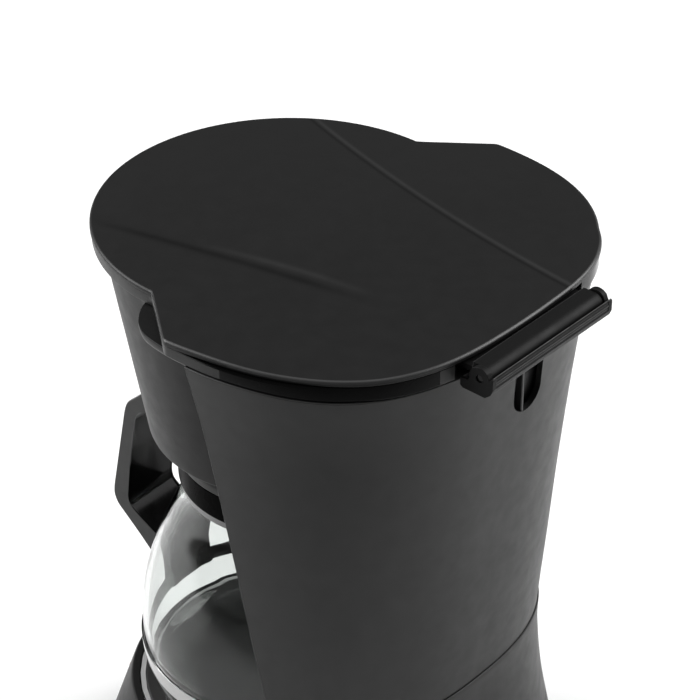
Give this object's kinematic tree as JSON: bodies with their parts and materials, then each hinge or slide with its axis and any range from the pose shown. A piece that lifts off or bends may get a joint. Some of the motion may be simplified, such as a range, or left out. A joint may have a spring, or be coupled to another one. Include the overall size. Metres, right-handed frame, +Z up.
{
  "type": "drip coffee maker",
  "caption": "Drip coffee maker with a hinged flat lid, round brewing housing, rear water tank column, flared base with a hot plate, and a glass jug with a strap handle.",
  "frame": {"origin": "on the table, under the middle of the bounding box", "axes": "+Z up; -Y the front, the way the jug handle points; +Y the back with the lid hinge; -X the side with the water gauge"},
  "size_m": [0.184, 0.2168, 0.282],
  "materials": {
    "satin_black_plastic": "fine satin moulding, black",
    "gloss_black_plastic": "polished black",
    "grey_inner_plastic": "plain moulded, dark grey",
    "jug_glass": "clear blown glass",
    "clear_plastic": "clear polished plastic",
    "coated_hot_plate": "black non-stick coating",
    "cast_aluminium": "as cast",
    "steel": "plain",
    "silicone": "translucent grey",
    "black_rubber": "matte",
    "white_ceramic": "fired, unglazed",
    "red_lens": "translucent red"
  },
  "bodies": {
    "brewer": {"base_shell": "satin_black_plastic", "bottom_cover": "satin_black_plastic", "check_valve_body": "grey_inner_plastic", "column_panel": "satin_black_plastic", "cord_inlet_bushing": "black_rubber", "cover_screw_front_left": "steel", "cover_screw_front_right": "steel", "cover_screw_rear_left": "steel", "cover_screw_rear_right": "steel", "drip_valve_seal": "silicone", "filter_basket": "grey_inner_plastic", "foot_front_left": "black_rubber", "foot_front_right": "black_rubber", "foot_rear_left": "black_rubber", "foot_rear_right": "black_rubber", "front_shell": "satin_black_plastic", "heater_clamp": "steel", "heating_element": "cast_aluminium", "hinge_bracket": "satin_black_plastic", "hinge_pin_left": "steel", "hinge_pin_right": "steel", "hose_clamp_heater_in": "steel", "hose_clamp_heater_out": "steel", "hose_clamp_riser": "steel", "hose_clamp_tank": "steel", "hot_plate": "coated_hot_plate", "hot_plate_seal": "silicone", "housing_backplate": "grey_inner_plastic", "inlet_hose": "silicone", "outlet_hose": "silicone", "power_lamp": "red_lens", "rear_shell": "satin_black_plastic", "riser_tube": "grey_inner_plastic", "spray_head": "grey_inner_plastic", "spray_spout": "grey_inner_plastic", "switch_housing": "gloss_black_plastic", "terminal_block": "white_ceramic", "thermal_fuse": "white_ceramic", "thermostat": "white_ceramic", "water_gauge": "clear_plastic", "water_tank": "grey_inner_plastic"},
    "lid": {"lid_panel": "satin_black_plastic", "lid_skirt": "gloss_black_plastic", "hinge_leaf": "satin_black_plastic"},
    "jug": {"jug_glass": "jug_glass", "jug_collar": "gloss_black_plastic", "jug_lid": "satin_black_plastic", "jug_handle": "gloss_black_plastic", "jug_band": "steel"},
    "drip_valve": {"drip_valve_stem": "grey_inner_plastic", "drip_valve_spring": "steel"},
    "rocker": {"switch_rocker": "gloss_black_plastic"},
    "valve_ball": {"check_valve_ball": "steel"}
  },
  "joints": [
    {"name": "lid_hinge", "type": "hinge", "parent": "brewer", "child": "lid", "pos_m": [0, 0.10135, 0.2772], "axis": [-1, 0, 0], "range_deg": [0, 100]},
    {"name": "jug_slide", "type": "slide", "parent": "brewer", "child": "jug", "axis": [0, -1, 0], "range_m": [0, 0.15]},
    {"name": "drip_valve_slide", "type": "slide", "parent": "brewer", "child": "drip_valve", "axis": [0, 0, -1], "range_m": [0, 0.0025], "deforming": ["drip_valve_spring"]},
    {"name": "switch_rock", "type": "hinge", "parent": "brewer", "child": "rocker", "pos_m": [0, -0.09304, 0.03136], "axis": [1, 0, 0], "range_deg": [0, 12]},
    {"name": "valve_ball_lift", "type": "slide", "parent": "brewer", "child": "valve_ball", "axis": [0, 0, 1], "range_m": [0, 0.005]}
  ],
  "couplings": [
    {"joint": "drip_valve_slide", "follows": "jug_slide", "ratio": 0.0166}
  ]
}
